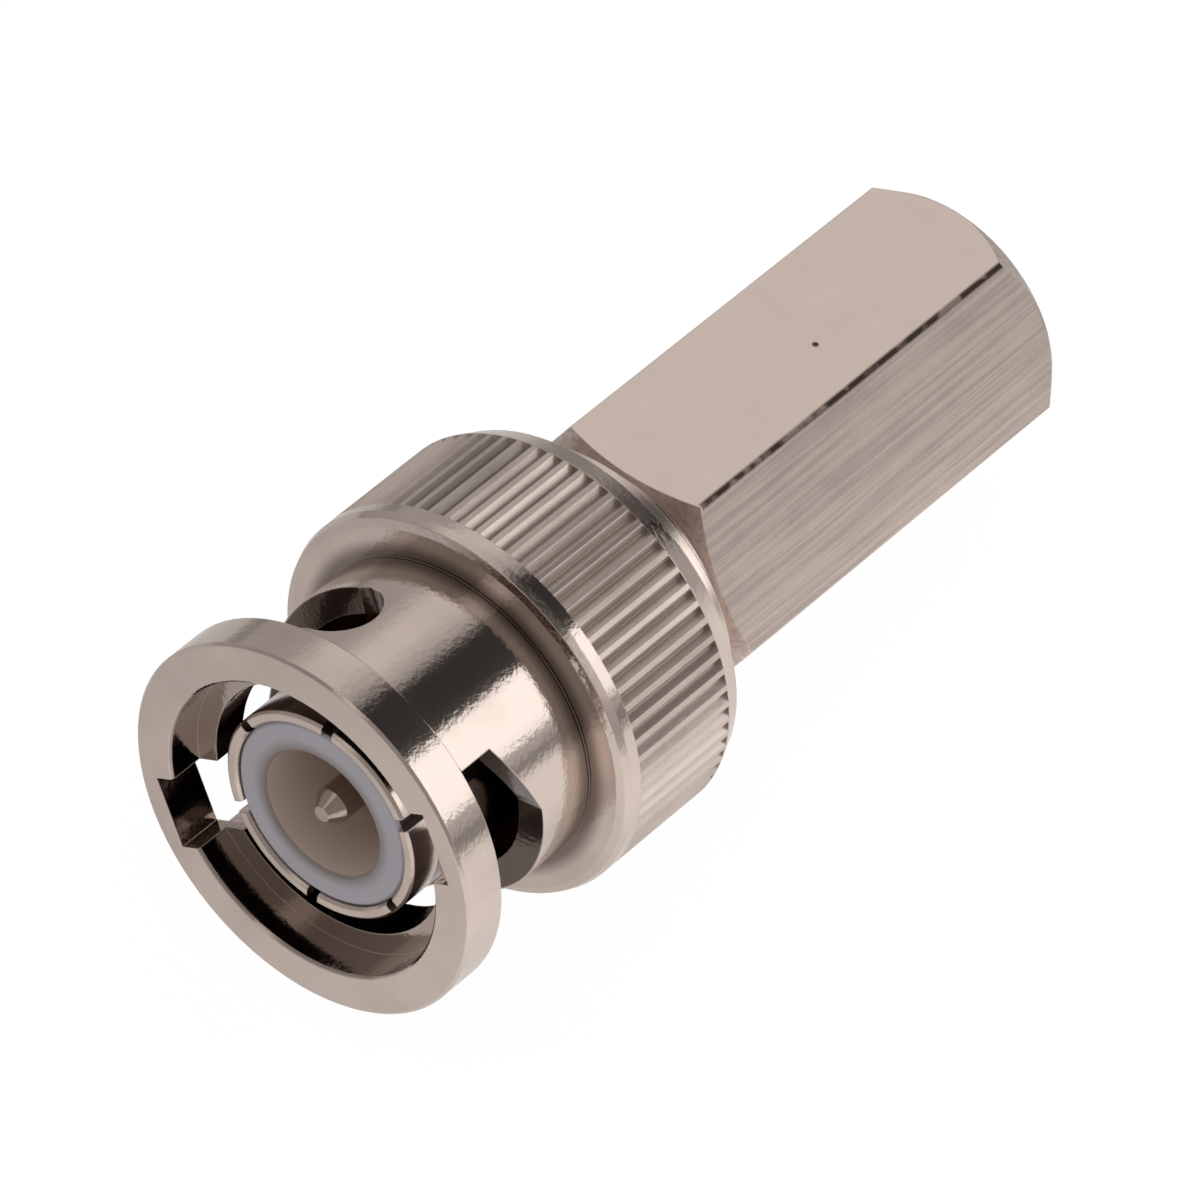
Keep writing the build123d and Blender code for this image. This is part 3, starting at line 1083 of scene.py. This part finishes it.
@dataclass
class Studio:
    """The floor, the soft lights and the camera.

    The plug lies on its nut's knurl and on the rear edge of its lower flat, so the floor
    slopes a little against the plug's axis.

    Attributes:
        knurl_rear_y: Where the knurl ends, in mm.
        knurl_r: The knurl's radius, in mm.
        body_rear_y: Where the body ends, in mm.
        body_flat_r: Distance of the body's flats from the axis, in mm.
        floor_size: Side of the square floor, in mm.
        floor_colour: The paper's colour.
        floor_roughness: The paper's roughness.
        floor_mirrored: Share of the painted paper in what metal mirrors.
        floor_seen: Share of plain white in what the camera sees of the floor.
        floor_white: Level of that white.
        warm: Red, green and blue of the mirrored light, as shares of its level.
        paper: Places along x, in mm, and the level of the paper that metal mirrors there.
        falling: Where the mirrored paper starts and ends to darken behind the plug, in mm
            along y, and its level from there on.
        sky: Angles round the axis, in degrees from +X to +Z, and the room's level there.
        front_sky: The same for the room in front of the plug, round the camera.
        rear_dark: The direction's y at which the room starts and ends to darken close round
            the axis behind the plug, and its level there.
        front_edge: The direction's y at which the front room starts, and at which it is full.
        fill: Level of the world's light on matt surfaces.
        softbox_level: The softbox's brightness, where 1 mirrors as white.
        softbox_turn: The softbox's angle round the axis, in degrees from +X to +Z.
        softbox_lean: The softbox's direction, as its shares across the axis and along it.
        softbox_away: Its distance, in mm.
        softbox_size: Its width and length, in mm.
        target: The point that the softbox faces, in mm.
        lens: The camera's focal length, in mm.
        film: The width of its film, in mm.
        clip: The nearest and farthest depth that it sees, in metres.
        camera_at: Its place, in mm.
        camera_axes: Its directions to the right, up and back.
    """

    knurl_rear_y: float = 12.53
    knurl_r: float = 7.5
    body_rear_y: float = 33.93
    body_flat_r: float = 4.93
    floor_size: float = 3000.0
    floor_colour: str = "#F4F3F1"
    floor_roughness: float = 0.9
    floor_mirrored: float = 0.8
    floor_seen: float = 0.9
    floor_white: float = 1.06
    warm: tuple[float, float, float] = (1.06, 1.0, 0.97)
    paper: tuple[tuple[float, float], ...] = (
        (-200, 0.58), (-25, 0.6), (-8, 0.7), (4, 0.8), (16, 1.15), (50, 1.1), (90, 0.6), (200, 0.5),
    )
    falling: tuple[float, float, float] = (38.0, 75.0, 0.41)
    sky: tuple[tuple[float, float], ...] = (
        (-180, 0.44), (0, 0.5), (12, 0.54), (20, 0.8), (50, 0.85), (56, 0.05),
        (88, 0.04), (97, 0.5), (112, 0.77), (127, 0.77), (142, 0.48), (180, 0.42),
    )
    front_sky: tuple[tuple[float, float], ...] = (
        (-180, 0.4), (89, 0.34), (96, 0.75), (108, 0.75), (116, 0.34), (180, 0.4),
    )
    rear_dark: tuple[float, float, float] = (0.93, 0.975, 0.12)
    front_edge: tuple[float, float] = (-0.12, -0.34)
    fill: float = 0.6
    softbox_level: float = 0.76
    softbox_turn: float = 34.0
    softbox_lean: tuple[float, float] = (0.81, 0.587)
    softbox_away: float = 350.0
    softbox_size: tuple[float, float] = (200.0, 520.0)
    target: tuple[float, float, float] = (0.0, 14.0, 0.0)
    lens: float = 309.7
    film: float = 36.0
    clip: tuple[float, float] = (0.01, 10.0)
    camera_at: tuple[float, float, float] = (142.85, -192.13, 246.82)
    camera_axes: tuple[tuple[float, float, float], ...] = (
        (0.7728, 0.6294, 0.0804),
        (-0.4883, 0.5095, 0.7082),
        (0.4048, -0.587, 0.7011),
    )

    def ramp(self, tree: Tree, place: Socket, levels: list[tuple[float, float]]) -> Socket:
        """Paint a row of levels.

        Args:
            tree: The node tree.
            place: The place along the row, 0 to 1.
            levels: Places along the row, each with its level.

        Returns:
            The socket of the slightly warm colour.
        """
        ramp = add_node(tree, "ShaderNodeValToRGB", {"Fac": place})
        stops = ramp.color_ramp.elements
        for index, (at, level) in enumerate(levels):
            # a new ramp has two stops, and the others are added
            stop = stops[index] if index < 2 else stops.new(at)
            stop.position = at
            stop.color = (*(level * share for share in self.warm), 1)
        return ramp.outputs["Color"]

    def paper_finish(self) -> bpy.types.Material:
        """Build the floor's finish: pale paper, painted for mirrors and white for the camera.

        Returns:
            The material.
        """
        material = bpy.data.materials.new("studio_paper")
        material.use_nodes = True
        tree = material.node_tree
        shader = tree.nodes["Principled BSDF"]
        shader.inputs["Base Color"].default_value = linear(self.floor_colour)
        shader.inputs["Roughness"].default_value = self.floor_roughness
        coordinates = add_node(tree, "ShaderNodeTexCoord")
        parts = add_node(tree, "ShaderNodeSeparateXYZ", {0: coordinates.outputs["Object"]})
        # metal mirrors a paper that is brighter on the softbox's side
        reach = self.paper[-1][0] * MM
        place = add_node(
            tree,
            "ShaderNodeMapRange",
            {"Value": parts.outputs["X"], "From Min": -reach, "From Max": reach},
        )
        levels = [((x * MM + reach) / (2 * reach), level) for x, level in self.paper]
        lit = self.ramp(tree, place.outputs[0], levels)
        start, end, level = self.falling
        fall = {"From Min": start * MM, "From Max": end * MM, "To Min": 1.0, "To Max": level}
        depth = add_node(tree, "ShaderNodeMapRange", {"Value": parts.outputs["Y"], **fall})
        mirrored = add_node(
            tree, "ShaderNodeEmission", {"Color": lit, "Strength": depth.outputs[0]}
        )
        white = add_node(
            tree, "ShaderNodeEmission", {"Color": WHITE, "Strength": self.floor_white}
        )
        # the rest of what a ray sees is the plain paper, which keeps the plug's shadow
        seen = add_node(tree, "ShaderNodeLightPath")
        mixed = shader.outputs["BSDF"]
        for ray, most, light in (
            ("Is Glossy Ray", self.floor_mirrored, mirrored),
            ("Is Camera Ray", self.floor_seen, white),
        ):
            share = add_node(
                tree, "ShaderNodeMath", {0: seen.outputs[ray], 1: most}, operation="MULTIPLY"
            )
            both = add_node(
                tree,
                "ShaderNodeMixShader",
                {0: share.outputs[0], 1: mixed, 2: light.outputs[0]},
            )
            mixed = both.outputs[0]
        tree.links.new(mixed, tree.nodes["Material Output"].inputs["Surface"])
        return material

    def floor(self) -> None:
        """Lay the pale floor under the plug."""
        drop = self.knurl_r - self.body_flat_r
        slope = math.atan2(drop, self.body_rear_y - self.knurl_rear_y)
        turn = Matrix.Rotation(slope, 3, "X")
        touch = Vector((0, self.knurl_rear_y, -self.knurl_r))
        half = self.floor_size / 2
        square = ((-half, -half), (half, -half), (half, half), (-half, half))
        points = [turn @ Vector((x, y, 0)) + touch for x, y in square]
        floor = add_piece("studio_floor", points, [(0, 1, 2, 3)], self.paper_finish())

    def room(self, tree: Tree) -> Socket:
        """Paint the soft room with one dark gap for metal to mirror.

        Args:
            tree: The world's node tree.

        Returns:
            The room's colour.
        """
        direction = add_node(tree, "ShaderNodeTexCoord").outputs["Generated"]
        parts = add_node(tree, "ShaderNodeSeparateXYZ", {0: direction})
        angle = add_node(
            tree,
            "ShaderNodeMath",
            {0: parts.outputs["Z"], 1: parts.outputs["X"]},
            operation="ARCTAN2",
        )
        place = add_node(
            tree,
            "ShaderNodeMapRange",
            {"Value": angle.outputs[0], "From Min": -math.pi, "From Max": math.pi},
        )
        # behind the plug the room is light, and in front of it, round the camera, darker
        behind, ahead = (
            self.ramp(
                tree, place.outputs["Result"], [((turn + 180) / 360, level) for turn, level in ring]
            )
            for ring in (self.sky, self.front_sky)
        )
        start, full = self.front_edge
        reach = {"From Min": start, "From Max": full}
        front = add_node(tree, "ShaderNodeMapRange", {"Value": parts.outputs["Y"], **reach})
        whole = add_node(
            tree,
            "ShaderNodeMix",
            {SHARE: front.outputs["Result"], COLOUR_A: behind, COLOUR_B: ahead},
            data_type="RGBA",
        )
        start, full, level = self.rear_dark
        reach = {"From Min": start, "From Max": full, "To Min": 1.0, "To Max": level}
        rear = add_node(tree, "ShaderNodeMapRange", {"Value": parts.outputs["Y"], **reach})
        darkened = add_node(
            tree,
            "ShaderNodeVectorMath",
            {0: whole.outputs[COLOUR_OUT], "Scale": rear.outputs["Result"]},
            operation="SCALE",
        )
        return darkened.outputs["Vector"]

    def world(self) -> None:
        """Set the world: white to the camera, the room to mirrors, and an even fill."""
        world = bpy.data.worlds.new("studio_room")
        bpy.context.scene.world = world
        world.use_nodes = True
        tree = world.node_tree
        seen = add_node(tree, "ShaderNodeLightPath")
        both = {COLOUR_A: WHITE, COLOUR_B: self.room(tree)}
        mirrored = add_node(
            tree, "ShaderNodeMix", {SHARE: seen.outputs["Is Glossy Ray"], **both}, data_type="RGBA"
        )
        # metal and glass show the backdrop too, and only matt surfaces get the fill
        looked_at = seen.outputs["Is Camera Ray"]
        for ray in ("Is Glossy Ray", "Is Transmission Ray"):
            either = add_node(
                tree, "ShaderNodeMath", {0: looked_at, 1: seen.outputs[ray]}, operation="MAXIMUM"
            )
            looked_at = either.outputs[0]
        fill = add_node(tree, "ShaderNodeBackground", {"Color": WHITE, "Strength": self.fill})
        backdrop = add_node(
            tree,
            "ShaderNodeBackground",
            {"Color": mirrored.outputs[COLOUR_OUT], "Strength": 1.0},
        )
        mixed = add_node(
            tree,
            "ShaderNodeMixShader",
            {0: looked_at, 1: fill.outputs[0], 2: backdrop.outputs[0]},
        )
        tree.links.new(mixed.outputs[0], tree.nodes["World Output"].inputs["Surface"])

    def softbox(self) -> None:
        """Hang the softbox whose mirror image is the bright band along the turned metal."""
        angle = math.radians(self.softbox_turn)
        across, along = self.softbox_lean
        towards = Vector((across * math.cos(angle), along, across * math.sin(angle))).normalized()
        side = Vector((-math.sin(angle), 0, math.cos(angle)))
        width, length = self.softbox_size
        lamp = bpy.data.lights.new("softbox", "AREA")
        lamp.shape = "RECTANGLE"
        lamp.size, lamp.size_y = width * MM, length * MM
        lamp.energy = self.softbox_level * math.pi * width * length * MM * MM
        light = bpy.data.objects.new("softbox", lamp)
        bpy.context.scene.collection.objects.link(light)
        matrix = Matrix((side, towards.cross(side), towards)).transposed().to_4x4()
        matrix.translation = (Vector(self.target) + towards * self.softbox_away) * MM
        light.matrix_world = matrix

    def camera(self) -> None:
        """Place the camera where the photograph was taken from."""
        data = bpy.data.cameras.new("camera")
        data.sensor_width = self.film
        data.lens = self.lens
        data.clip_start, data.clip_end = self.clip
        camera = bpy.data.objects.new("camera", data)
        bpy.context.scene.collection.objects.link(camera)
        matrix = Matrix(self.camera_axes).transposed().to_4x4()
        matrix.translation = Vector(self.camera_at) * MM
        camera.matrix_world = matrix
        bpy.context.scene.camera = camera

    def build(self) -> None:
        """Set the whole studio."""
        self.floor()
        self.world()
        self.softbox()
        self.camera()
        bpy.context.scene.view_settings.view_transform = "Standard"
        log.info("studio: floor, room, softbox and camera")


def main() -> None:
    """Build every sub-assembly."""
    logging.basicConfig(level=logging.INFO, format="%(message)s")
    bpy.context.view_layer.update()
    for part in (CouplingNut(), ContactSet(), SprungStack(), HexBody(), Studio()):
        part.build()


if __name__ == "__main__":
    main()
